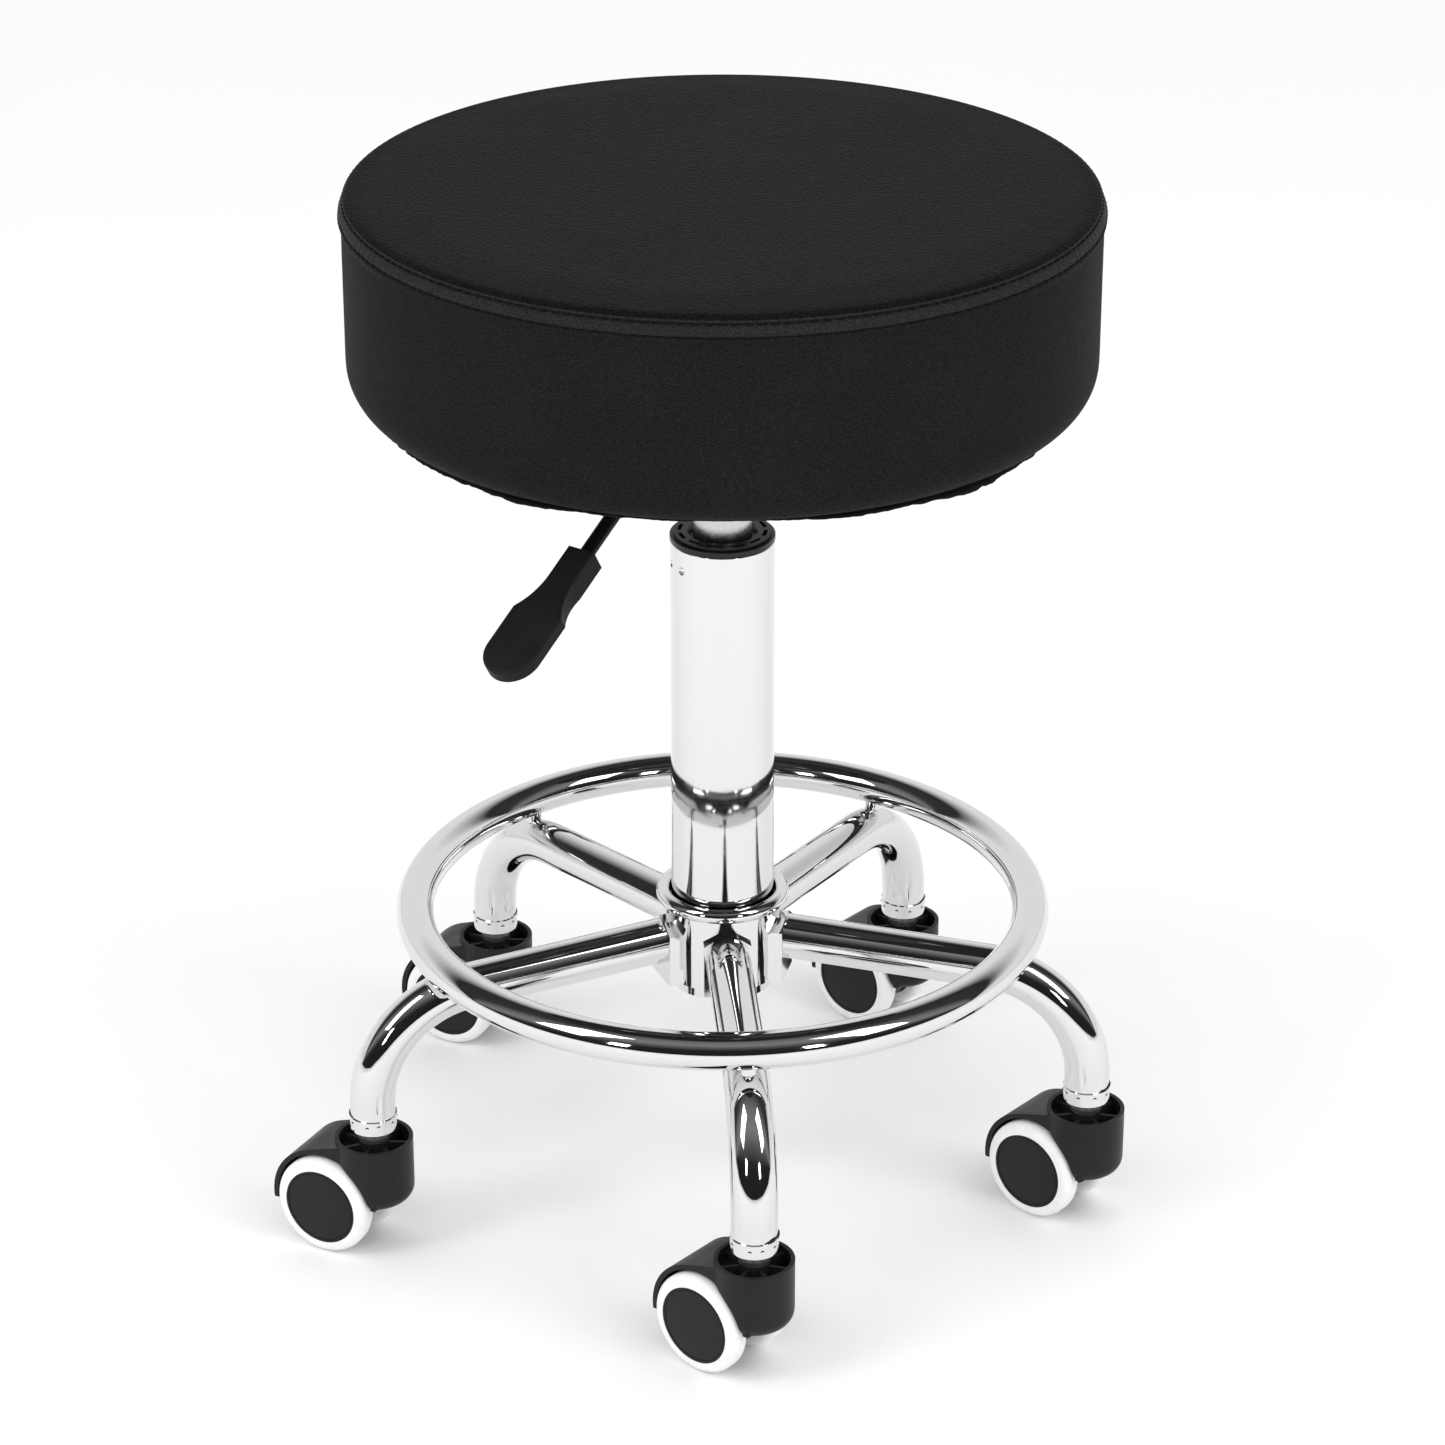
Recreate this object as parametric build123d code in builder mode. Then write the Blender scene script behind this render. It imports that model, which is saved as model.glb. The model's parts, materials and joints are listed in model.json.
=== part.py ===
"""Adjustable swivel stool.

A round padded seat on a gas lift, over a chromed base with five bent legs, a foot ring and
twin-wheel casters. Millimetres, +Z up. The origin is on the floor under the swivel axis, and
the first leg points along -Y.
"""

import os
from math import acos, atan2, cos, radians, sin, sqrt, tan

from build123d import *

os.makedirs("parts", exist_ok=True)

# Seat cushion
seat_radius = 175.0
seat_top = 520.0
seat_thickness = 101.5
seat_bottom = seat_top - seat_thickness
top_edge_radius = 8.0
bottom_edge_radius = 20.0
cover_thickness = 1.4
cover_opening_radius = 138.0
board_radius = 154.0
board_thickness = 12.0
board_bottom = seat_bottom + cover_thickness
board_top = board_bottom + board_thickness
dust_cover_radius = 160.0
dust_cover_thickness = 0.8
staple_count = 24
staple_circle = 147.0
staple_width = 10.0
staple_wire = 0.6
staple_leg = 6.0

# Fasteners that hold the seat plate
bolt_spacing = 120.0
bolt_diameter = 6.0
bolt_head_height = 4.0
bolt_head_across_flats = 10.0
washer_radius = 6.5
washer_thickness = 1.2
bolt_tip = board_top - 1.0
nut_flange_radius = 9.5
nut_flange_thickness = 1.4
nut_barrel_radius = 4.0
nut_barrel_length = 9.0

# Seat plate, with the taper socket and the lever bracket
plate_size = 150.0
plate_thickness = 2.5
plate_skirt = 4.0
plate_corner_radius = 14.0
bolt_hole_clearance = 0.3
plate_top = seat_bottom - dust_cover_thickness
plate_bottom = plate_top - plate_thickness
socket_radius = 19.0
socket_bottom = 366.0
bracket_inner = 6.0
bracket_thickness = 2.5
bracket_start = socket_radius - 1.5
bracket_end = 37.0
bracket_bottom = 397.5

# Lever: the rod runs out level from the valve, then bends down to the handle
lever_angle = -130.6
rod_radius = 3.5
rod_height = 404.5
rod_inner_end = -4.0
rod_bend_reach = 51.5
rod_bend_radius = 14.0
rod_droop = 31.0
rod_droop_length = 92.5
pivot_reach = 27.0
pivot_pin_radius = 2.0
pivot_pin_overhang = 0.8
pivot_pin_rounding = 0.4
running_clearance = 0.05
handle_start = 63.5
handle_length = 74.5
handle_neck_width = 14.2
handle_blade_width = 27.2
handle_neck_length = 17.0
handle_flare_length = 21.5
handle_half_height = 6.0
handle_blade_thickness = 6.5
handle_rounding = 1.5
handle_shoulder_slope = 0.7
handle_step_setback = 2.0
handle_cut_margin = 1.0

# Gas lift
cylinder_radius = 14.0
cylinder_bore = 12.0
cylinder_bottom = 140.0
cylinder_top = 395.0
cylinder_tip_radius = 13.2
cylinder_head = 22.0
rod_guide_height = 10.0
valve_pin_radius = 3.0
valve_pin_bottom = 384.0
valve_pin_top = 400.7
valve_pin_rounding = 0.6
piston_rod_radius = 5.0
piston_rod_bottom = 106.5
piston_rod_chamfer = 0.8
piston_bottom = 264.0
piston_height = 12.0
clip_gap = 0.6
clip_radius = 9.0
clip_thickness = 1.2
clip_groove_depth = 1.0

# Stand tube, with its guide bush and its thrust bearing
stand_radius = 25.0
stand_bore = 23.2
stand_bottom = 110.0
stand_top = 344.4
stand_rounding = 0.6
shelf_bottom = 112.0
shelf_top = 116.0
shelf_hole = 7.0
dimple_height = 334.0
dimple_radius = 2.6
dimple_standoff = 1.56
dimple_angles = (-168.8, -145.1, 11.2, 34.9)
bush_length = 62.0
flange_height = 4.2
flange_radius = 25.1
flange_step = 1.2
flange_slot_count = 12
flange_slot_circle = 20.4
bush_recess_radius = 15.2
bush_recess_depth = 2.4
bush_recess_flare = 1.6
flange_ledge = 1.8
flange_rounding = 0.5
flange_slot_width = 1.8
flange_slot_gap = 3.4
flange_slot_depth = 2.2
race_inner = 6.0
race_outer = 13.0
race_thickness = 1.6
ball_count = 10
ball_circle = 9.5
ball_radius = 2.0
bumper_radius = 12.0
bumper_height = 12.0
bumper_rounding = 1.5

# Base: hub, legs and foot ring
leg_count = 5
first_leg_angle = -90.0
leg_angles = [first_leg_angle + 360.0 / leg_count * number for number in range(leg_count)]
hub_radius = 28.0
hub_bottom = 116.0
hub_top = 157.8
hub_throat_radius = 26.2
hub_grip_height = 26.0
lip_radius = 3.6
lip_circle = 28.9
pad_reach = 32.5
pad_width = 23.0
pad_height = 32.0
pad_corner_width = 7.0
pad_corner_height = 5.0
leg_radius = 11.0
leg_wall = 1.5
leg_axis_height = 136.5
leg_droop = 2.6
leg_reach = 183.0
leg_bend_radius = 53.0
leg_overlap = 3.0
collar_radius = 11.4
collar_bottom = 65.0
collar_top = 73.5
collar_chamfer = 0.7
socket_plug_height = 4.0
socket_wall = 1.5
crimp_count = 8
crimp_start = 43.0
crimp_depth = 0.5
crimp_height = 82.5
crimp_jaw_radius = 4.0
crimp_jaw_half_length = 12.0
ring_reach = 150.5
ring_radius = 9.0
ring_height = 151.5
peg_radius = 4.0
peg_inset = 2.0

# Casters: the stem axis is local X = 0 and the wheels trail along local +X
trail_angles = (135.0, 135.0, 135.0, 150.0, 147.5)
caster_trail = 19.5
wheel_radius = 25.0
stem_grip_radius = 5.5
stem_grip_top = 88.0
stem_pin_radius = 4.0
stem_pin_bottom = 38.0
stem_pin_end_gap = 0.5
stem_shoulder_radius = 7.5
stem_shoulder_bottom = 59.1
stem_shoulder_height = 2.5
cup_radius = 19.0
cup_rim = 60.0
cup_wall = 2.0
cup_pocket_bottom = 44.0
cup_boss_radius = 7.2
cup_boss_top = 59.0
cup_rib_count = 7
cup_rib_thickness = 1.5
cup_rib_top = 57.0
cup_rib_middle = 12.5
cup_rib_length = 16.0
prow_bottom = 26.0
prow_rounding = 8.0
prow_cut_height = 28.0
hood_lip_slope = 2.0
hood_radius = 29.0
arch_radius = 26.5
hood_half_width = 16.3
hood_shoulder = 6.0
hood_tip_angle = -8.0
web_half_width = 6.5
web_bottom = 12.0
axle_radius = 3.0
axle_half_length = 18.0
axle_chamfer = 0.5
wheel_inner_face = 7.0
wheel_outer_face = 20.2
tread_inner_face = 9.5
tread_outer_face = 20.5
tread_rounding = 4.0
tread_bore = 19.3
wheel_rim_width = 2.3
wheel_barrel_radius = 6.5
wheel_disc_thickness = 2.0
wheel_end_play = 0.1
wheel_dome = 0.6
wheel_dome_share = 0.55
wheel_groove_width = 0.4
wheel_groove_depth = 0.3


def save(part, name, location=Location((0, 0, 0))):
    """Write one finished piece, moved to its place, under its node name."""
    placed = part.moved(location)
    placed.label = name
    export_step(placed, f"parts/{name}.step")


def cushion_section(inset, mode=Mode.ADD):
    """Half section of the cushion, drawn this far inside its outer face."""
    low = seat_bottom + inset
    high = seat_top - inset
    side = seat_radius - inset
    top_round = top_edge_radius - inset
    bottom_round = bottom_edge_radius - inset
    with BuildLine() as outline:
        Polyline((side - bottom_round, low), (0, low), (0, high), (side - top_round, high))
        RadiusArc((side - top_round, high), (side, high - top_round), top_round)
        Line((side, high - top_round), (side, low + bottom_round))
        RadiusArc((side, low + bottom_round), (side - bottom_round, low), bottom_round)
    make_face(outline.edges(), mode=mode)


# ---------------------------------------------------------------- seat cushion

# The hardware under the seat is drawn with the lever along +X, then turned to its angle.
lever_turn = Location((0, 0, 0), (0, 0, lever_angle))

with BuildPart() as cover_staples:
    with BuildSketch(Plane.XY.offset(seat_bottom)):
        with PolarLocations(staple_circle, staple_count):
            Rectangle(staple_wire * 2, staple_width)
    extrude(amount=staple_wire)
    with BuildSketch(Plane.XY.offset(seat_bottom)):
        with PolarLocations(staple_circle, staple_count):
            with Locations((0, staple_width / 2 - staple_wire), (0, staple_wire - staple_width / 2)):
                Rectangle(staple_wire * 2, staple_wire * 2)
    extrude(amount=staple_leg)
save(cover_staples.part, "cover_staples", lever_turn)

with BuildPart() as seat_cover:
    with BuildSketch(Plane.XZ):
        cushion_section(0)
        cushion_section(cover_thickness, mode=Mode.SUBTRACT)
        with Locations((0, seat_bottom)):
            Rectangle(cover_opening_radius, cover_thickness, align=Align.MIN, mode=Mode.SUBTRACT)
    revolve(axis=Axis.Z)
    add(cover_staples.part, mode=Mode.SUBTRACT)
save(seat_cover.part, "seat_cover", lever_turn)

with BuildPart() as t_nuts:
    with BuildSketch(Plane.XY.offset(board_top)):
        with GridLocations(bolt_spacing, bolt_spacing, 2, 2):
            Circle(nut_flange_radius)
    extrude(amount=nut_flange_thickness)
    with BuildSketch(Plane.XY.offset(board_top)):
        with GridLocations(bolt_spacing, bolt_spacing, 2, 2):
            Circle(nut_barrel_radius)
    extrude(amount=-nut_barrel_length)
    with BuildSketch(Plane.XY.offset(board_top + nut_flange_thickness)):
        with GridLocations(bolt_spacing, bolt_spacing, 2, 2):
            Circle(bolt_diameter / 2)
    extrude(amount=-nut_flange_thickness - nut_barrel_length, mode=Mode.SUBTRACT)
save(t_nuts.part, "t_nuts", lever_turn)

with BuildPart() as seat_board:
    with BuildSketch(Plane.XY.offset(board_bottom)):
        Circle(board_radius)
        with GridLocations(bolt_spacing, bolt_spacing, 2, 2):
            Circle(nut_barrel_radius, mode=Mode.SUBTRACT)
    extrude(amount=board_thickness)
    add(cover_staples.part, mode=Mode.SUBTRACT)
save(seat_board.part, "seat_board", lever_turn)

with BuildPart() as seat_foam:
    with BuildSketch(Plane.XZ):
        cushion_section(cover_thickness)
        with Locations((0, board_bottom)):
            Rectangle(board_radius, board_thickness, align=Align.MIN, mode=Mode.SUBTRACT)
    revolve(axis=Axis.Z)
    with BuildSketch(Plane.XY.offset(board_top)):
        with GridLocations(bolt_spacing, bolt_spacing, 2, 2):
            Circle(nut_flange_radius)
    extrude(amount=nut_flange_thickness, mode=Mode.SUBTRACT)
save(seat_foam.part, "seat_foam", lever_turn)

with BuildPart() as dust_cover:
    with BuildSketch(Plane.XY.offset(seat_bottom)):
        Circle(dust_cover_radius)
        with GridLocations(bolt_spacing, bolt_spacing, 2, 2):
            Circle(bolt_diameter / 2, mode=Mode.SUBTRACT)
    extrude(amount=-dust_cover_thickness)
save(dust_cover.part, "dust_cover", lever_turn)

# ---------------------------------------------------------------- seat plate and lever

with BuildPart() as seat_plate:
    with BuildSketch(Plane.XY.offset(plate_top)):
        RectangleRounded(plate_size, plate_size, plate_corner_radius)
        with GridLocations(bolt_spacing, bolt_spacing, 2, 2):
            Circle(bolt_diameter / 2 + bolt_hole_clearance, mode=Mode.SUBTRACT)
    extrude(amount=-plate_thickness)
    with BuildSketch(Plane.XY.offset(plate_top)):
        RectangleRounded(plate_size, plate_size, plate_corner_radius)
        skirt_inner = plate_size - 2 * plate_thickness
        skirt_corner = plate_corner_radius - plate_thickness
        RectangleRounded(skirt_inner, skirt_inner, skirt_corner, mode=Mode.SUBTRACT)
    extrude(amount=-plate_skirt)
    with BuildSketch(Plane.XY.offset(plate_top)):
        Circle(socket_radius)
    extrude(amount=socket_bottom - plate_top)
    with BuildSketch(Plane.XY.offset(plate_bottom)):
        bracket_middle = (bracket_start + bracket_end) / 2
        bracket_side = bracket_inner + bracket_thickness / 2
        with Locations((bracket_middle, bracket_side), (bracket_middle, -bracket_side)):
            Rectangle(bracket_end - bracket_start, bracket_thickness)
    extrude(amount=bracket_bottom - plate_bottom)
    # Taper bore for the gas cylinder, open at the top over the valve pin
    with BuildSketch(Plane.XZ):
        with BuildLine():
            Polyline(
                (0, socket_bottom),
                (cylinder_radius, socket_bottom),
                (cylinder_tip_radius, cylinder_top),
                (cylinder_tip_radius, plate_bottom),
                (0, plate_bottom),
                close=True,
            )
        make_face()
    revolve(axis=Axis.Z, mode=Mode.SUBTRACT)
    # Slot in the socket wall for the lever rod
    with BuildSketch(Plane.XY.offset(plate_bottom)):
        with Locations((bracket_start, 0)):
            Rectangle(bracket_start, 2 * bracket_inner)
    extrude(amount=bracket_bottom - plate_bottom, mode=Mode.SUBTRACT)
    with BuildSketch(Plane.XZ):
        with Locations((pivot_reach, rod_height)):
            Circle(pivot_pin_radius)
    extrude(amount=socket_radius, both=True, mode=Mode.SUBTRACT)
save(seat_plate.part, "seat_plate", lever_turn)

with BuildPart() as lever_pin:
    with BuildSketch(Plane.XZ):
        with Locations((pivot_reach, rod_height)):
            Circle(pivot_pin_radius)
    extrude(amount=bracket_inner + bracket_thickness + pivot_pin_overhang, both=True)
    fillet(lever_pin.edges().filter_by(GeomType.CIRCLE), pivot_pin_rounding)
save(lever_pin.part, "lever_pin", lever_turn)

droop_cosine = cos(radians(rod_droop))
droop_sine = sin(radians(rod_droop))
droop_direction = Vector(droop_cosine, 0, -droop_sine)
handle_plane = Plane(
    origin=(rod_bend_reach, 0, rod_height),
    x_dir=droop_direction,
    z_dir=(droop_sine, 0, droop_cosine),
)

with BuildPart() as lever_rod:
    with BuildLine(Plane.XZ):
        FilletPolyline(
            (rod_inner_end, rod_height),
            (rod_bend_reach, rod_height),
            (
                rod_bend_reach + rod_droop_length * droop_cosine,
                rod_height - rod_droop_length * droop_sine,
            ),
            radius=rod_bend_radius,
        )
    with BuildSketch(Plane(origin=(rod_inner_end, 0, rod_height), z_dir=(1, 0, 0))):
        Circle(rod_radius)
    sweep()
    with BuildSketch(Plane.XZ):
        with Locations((pivot_reach, rod_height)):
            Circle(pivot_pin_radius + running_clearance)
    extrude(amount=2 * rod_radius, both=True, mode=Mode.SUBTRACT)
save(lever_rod.part, "lever_rod", lever_turn)

with BuildPart() as lever_handle:
    neck_end = handle_start + handle_neck_length
    blade_start = neck_end + handle_flare_length
    blade_end = handle_start + handle_length - handle_blade_width / 2
    neck_half = handle_neck_width / 2
    blade_half = handle_blade_width / 2
    with BuildSketch(handle_plane):
        with BuildLine() as handle_outline:
            Line((handle_start, 0), (handle_start, neck_half))
            Line((handle_start, neck_half), (neck_end, neck_half))
            Spline(
                (neck_end, neck_half),
                (blade_start, blade_half),
                tangents=((1, 0), (1, handle_shoulder_slope)),
            )
            Line((blade_start, blade_half), (blade_end, blade_half))
            RadiusArc((blade_end, blade_half), (blade_end + blade_half, 0), blade_half)
            mirror(about=Plane.XZ)
        make_face()
    extrude(amount=handle_half_height, both=True)
    # The underside steps up from the deep neck to the thin blade
    blade_underside = handle_half_height - handle_blade_thickness
    step_start = neck_end + handle_step_setback
    cut_end = handle_start + handle_length + handle_cut_margin
    with BuildSketch(Plane(origin=handle_plane.origin, x_dir=droop_direction, z_dir=(0, -1, 0))):
        with BuildLine():
            Polyline(
                (step_start, -handle_half_height),
                (blade_start, blade_underside),
                (cut_end, blade_underside),
                (cut_end, -handle_half_height - handle_cut_margin),
                (step_start, -handle_half_height - handle_cut_margin),
                close=True,
            )
        make_face()
    extrude(amount=handle_blade_width, both=True, mode=Mode.SUBTRACT)
    handle_up = Axis(handle_plane.origin, handle_plane.z_dir)
    fillet(lever_handle.faces().sort_by(handle_up)[-1].edges(), handle_rounding)
    add(lever_rod.part, mode=Mode.SUBTRACT)
save(lever_handle.part, "lever_handle", lever_turn)

with BuildPart() as seat_bolts:
    with BuildSketch(Plane.XY.offset(plate_bottom - washer_thickness)):
        with GridLocations(bolt_spacing, bolt_spacing, 2, 2):
            Circle(washer_radius)
            Circle(bolt_diameter / 2, mode=Mode.SUBTRACT)
    extrude(amount=washer_thickness)
    with BuildSketch(Plane.XY.offset(plate_bottom - washer_thickness)):
        with GridLocations(bolt_spacing, bolt_spacing, 2, 2):
            RegularPolygon(bolt_head_across_flats / 2, 6, major_radius=False)
    extrude(amount=-bolt_head_height)
    with BuildSketch(Plane.XY.offset(plate_bottom - washer_thickness)):
        with GridLocations(bolt_spacing, bolt_spacing, 2, 2):
            Circle(bolt_diameter / 2)
    extrude(amount=bolt_tip - plate_bottom + washer_thickness)
save(seat_bolts.part, "seat_bolts", lever_turn)

# ---------------------------------------------------------------- gas lift

with BuildPart() as gas_cylinder:
    with BuildSketch(Plane.XZ):
        with BuildLine():
            Polyline(
                (cylinder_bore, cylinder_bottom),
                (cylinder_radius, cylinder_bottom),
                (cylinder_radius, socket_bottom),
                (cylinder_tip_radius, cylinder_top),
                (valve_pin_radius + running_clearance, cylinder_top),
                (valve_pin_radius + running_clearance, cylinder_top - cylinder_head),
                (cylinder_bore, cylinder_top - cylinder_head),
                close=True,
            )
        make_face()
    revolve(axis=Axis.Z)
save(gas_cylinder.part, "gas_cylinder")

with BuildPart() as rod_guide:
    with BuildSketch(Plane.XY.offset(cylinder_bottom)):
        Circle(cylinder_bore)
        Circle(piston_rod_radius + running_clearance, mode=Mode.SUBTRACT)
    extrude(amount=rod_guide_height)
save(rod_guide.part, "rod_guide")

with BuildPart() as valve_pin:
    with BuildSketch(Plane.XY.offset(valve_pin_bottom)):
        Circle(valve_pin_radius)
    extrude(amount=valve_pin_top - valve_pin_bottom)
    fillet(valve_pin.faces().sort_by(Axis.Z)[-1].edges(), valve_pin_rounding)
save(valve_pin.part, "valve_pin")

bearing_bottom = shelf_top
balls_height = bearing_bottom + race_thickness + ball_radius
upper_race_bottom = balls_height + ball_radius + running_clearance
clip_top = shelf_bottom - clip_gap

with BuildPart() as retaining_clip:
    with BuildSketch(Plane.XY.offset(clip_top)):
        Circle(clip_radius)
        Circle(piston_rod_radius - clip_groove_depth, mode=Mode.SUBTRACT)
        with Locations((piston_rod_radius, 0)):
            Rectangle(2 * piston_rod_radius, piston_rod_radius, mode=Mode.SUBTRACT)
    extrude(amount=-clip_thickness)
save(retaining_clip.part, "retaining_clip")

with BuildPart() as piston_rod:
    with BuildSketch(Plane.XY.offset(piston_rod_bottom)):
        Circle(piston_rod_radius)
    extrude(amount=piston_bottom - piston_rod_bottom)
    chamfer(piston_rod.faces().sort_by(Axis.Z)[0].edges(), piston_rod_chamfer)
    with BuildSketch(Plane.XY.offset(piston_bottom)):
        Circle(cylinder_bore - running_clearance)
    extrude(amount=piston_height)
    with BuildSketch(Plane.XY.offset(clip_top)):
        Circle(piston_rod_radius)
        Circle(piston_rod_radius - clip_groove_depth, mode=Mode.SUBTRACT)
    extrude(amount=-clip_thickness, mode=Mode.SUBTRACT)
save(piston_rod.part, "piston_rod")

with BuildPart() as bearing_upper_race:
    with BuildSketch(Plane.XY.offset(upper_race_bottom)):
        Circle(race_outer)
        Circle(piston_rod_radius, mode=Mode.SUBTRACT)
    extrude(amount=race_thickness)
save(bearing_upper_race.part, "bearing_upper_race")

with BuildPart() as bump_stop:
    with BuildSketch(Plane.XY.offset(upper_race_bottom + race_thickness)):
        Circle(bumper_radius)
        Circle(piston_rod_radius, mode=Mode.SUBTRACT)
    extrude(amount=bumper_height)
    fillet(bump_stop.faces().sort_by(Axis.Z)[-1].edges(), bumper_rounding)
save(bump_stop.part, "bump_stop")

with BuildPart() as thrust_bearing:
    with BuildSketch(Plane.XY.offset(bearing_bottom)):
        Circle(race_outer)
        Circle(race_inner, mode=Mode.SUBTRACT)
    extrude(amount=race_thickness)
    with Locations(Location((0, 0, balls_height))):
        with PolarLocations(ball_circle, ball_count):
            Sphere(ball_radius)
save(thrust_bearing.part, "thrust_bearing")

# ---------------------------------------------------------------- column

with BuildPart() as stand_tube:
    with BuildSketch(Plane.XZ):
        with BuildLine():
            Polyline(
                (stand_bore, stand_bottom),
                (stand_radius, stand_bottom),
                (stand_radius, stand_top),
                (stand_bore, stand_top),
                (stand_bore, shelf_top),
                (shelf_hole, shelf_top),
                (shelf_hole, shelf_bottom),
                (stand_bore, shelf_bottom),
                close=True,
            )
        make_face()
    revolve(axis=Axis.Z)
    stand_rim = stand_tube.faces().sort_by(Axis.Z)[-1].edges().sort_by(SortBy.RADIUS)[-1]
    fillet(stand_rim, stand_rounding)
    for dimple_angle in dimple_angles:
        dimple_reach = stand_radius + dimple_standoff
        dimple_x = dimple_reach * cos(radians(dimple_angle))
        dimple_y = dimple_reach * sin(radians(dimple_angle))
        with Locations(Location((dimple_x, dimple_y, dimple_height))):
            Sphere(dimple_radius, mode=Mode.SUBTRACT)
save(stand_tube.part, "stand_tube")

with BuildPart() as guide_bush:
    flange_top = stand_top + flange_height
    with BuildSketch(Plane.XZ):
        with BuildLine():
            Polyline(
                (cylinder_radius + running_clearance, stand_top - bush_length),
                (stand_bore, stand_top - bush_length),
                (stand_bore, stand_top),
                (flange_radius, stand_top),
                (flange_radius, flange_top - flange_step),
                (flange_radius - flange_ledge, flange_top - flange_step),
                (flange_radius - flange_ledge, flange_top),
                (bush_recess_radius + bush_recess_flare, flange_top),
                (bush_recess_radius, flange_top - bush_recess_depth),
                (cylinder_radius + running_clearance, flange_top - bush_recess_depth),
                close=True,
            )
        make_face()
    revolve(axis=Axis.Z)
    flange_rims = guide_bush.edges().filter_by(GeomType.CIRCLE).sort_by(SortBy.RADIUS)[-2:]
    fillet(flange_rims, flange_rounding)
    # Ring of moulded slots in the top of the flange
    with BuildSketch(Plane.XY.offset(flange_top)):
        Circle(flange_slot_circle + flange_slot_width / 2)
        Circle(flange_slot_circle - flange_slot_width / 2, mode=Mode.SUBTRACT)
        with PolarLocations(flange_slot_circle, flange_slot_count):
            Rectangle(2 * flange_slot_width, flange_slot_gap, mode=Mode.SUBTRACT)
    extrude(amount=-flange_slot_depth, mode=Mode.SUBTRACT)
save(guide_bush.part, "guide_bush")

# ---------------------------------------------------------------- base

with BuildPart() as hub:
    with BuildSketch(Plane.XY.offset(hub_bottom)):
        Circle(hub_radius)
    extrude(amount=hub_top - hub_bottom)
    with BuildSketch(Plane.XZ):
        with Locations((lip_circle, hub_top)):
            Circle(lip_radius)
    revolve(axis=Axis.Z)
    # A flat pad for each leg, with its top corners cut off
    for leg_angle in leg_angles:
        outward = (cos(radians(leg_angle)), sin(radians(leg_angle)), 0)
        sideways = (-sin(radians(leg_angle)), cos(radians(leg_angle)), 0)
        with BuildSketch(Plane(origin=(0, 0, hub_bottom), x_dir=sideways, z_dir=outward)):
            with BuildLine():
                Polyline(
                    (-pad_width / 2, 0),
                    (pad_width / 2, 0),
                    (pad_width / 2, pad_height - pad_corner_height),
                    (pad_width / 2 - pad_corner_width, pad_height),
                    (pad_corner_width - pad_width / 2, pad_height),
                    (-pad_width / 2, pad_height - pad_corner_height),
                    close=True,
                )
            make_face()
        extrude(amount=pad_reach)
    with BuildSketch(Plane.XY.offset(hub_bottom)):
        Circle(stand_radius)
    extrude(amount=hub_top + lip_radius - hub_bottom, mode=Mode.SUBTRACT)
    with BuildSketch(Plane.XY.offset(hub_bottom + hub_grip_height)):
        Circle(hub_throat_radius)
    extrude(amount=hub_top + lip_radius - hub_bottom - hub_grip_height, mode=Mode.SUBTRACT)
save(hub.part, "hub")

leg_droop_slope = tan(radians(leg_droop))
with BuildLine(Plane.XZ):
    leg_path = FilletPolyline(
        (pad_reach - leg_overlap, leg_axis_height + leg_overlap * leg_droop_slope),
        (leg_reach, leg_axis_height - (leg_reach - pad_reach) * leg_droop_slope),
        (leg_reach, collar_top),
        radius=leg_bend_radius,
    )
leg_start = Plane(origin=leg_path @ 0, z_dir=leg_path % 0)

with BuildPart() as leg_core:
    with BuildSketch(leg_start):
        Circle(leg_radius)
    sweep(path=leg_path)
    split(bisect_by=Plane.YZ.offset(pad_reach), keep=Keep.TOP)

# One jaw of the press that grips the leg's end onto its socket
with BuildPart() as crimp_jaw:
    jaw_tip_radius = crimp_jaw_radius / 2
    with BuildSketch(Plane.XZ):
        with BuildLine():
            ThreePointArc(
                (jaw_tip_radius, -crimp_jaw_half_length),
                (crimp_jaw_radius, 0),
                (jaw_tip_radius, crimp_jaw_half_length),
            )
            Polyline(
                (jaw_tip_radius, crimp_jaw_half_length),
                (0, crimp_jaw_half_length),
                (0, -crimp_jaw_half_length),
                (jaw_tip_radius, -crimp_jaw_half_length),
            )
        make_face()
    revolve(axis=Axis.Z)

with BuildPart() as leg:
    add(leg_core.part)
    with BuildSketch(leg_start):
        Circle(leg_radius - leg_wall)
    sweep(path=leg_path, mode=Mode.SUBTRACT)
    jaw_reach = leg_radius + crimp_jaw_radius - crimp_depth
    for crimp_number in range(crimp_count):
        turn = radians(crimp_start + 360.0 / crimp_count * crimp_number)
        jaw_place = (leg_reach + jaw_reach * cos(turn), jaw_reach * sin(turn), crimp_height)
        add(crimp_jaw.part.moved(Location(jaw_place)), mode=Mode.SUBTRACT)

with BuildPart() as foot_ring:
    with Locations(Location((0, 0, ring_height))):
        Torus(ring_reach, ring_radius)
    with BuildSketch(Plane.XY.offset(ring_height)):
        with PolarLocations(ring_reach - peg_inset, leg_count, start_angle=first_leg_angle):
            Circle(peg_radius)
    extrude(amount=-ring_radius - leg_radius)
    for leg_angle in leg_angles:
        add(leg_core.part.moved(Location((0, 0, 0), (0, 0, leg_angle))), mode=Mode.SUBTRACT)
save(foot_ring.part, "foot_ring")

for leg_number, leg_angle in enumerate(leg_angles, 1):
    save(leg.part, f"leg_{leg_number}", Location((0, 0, 0), (0, 0, leg_angle)))

stem_places = PolarLocations(leg_reach, leg_count, start_angle=first_leg_angle)

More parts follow.
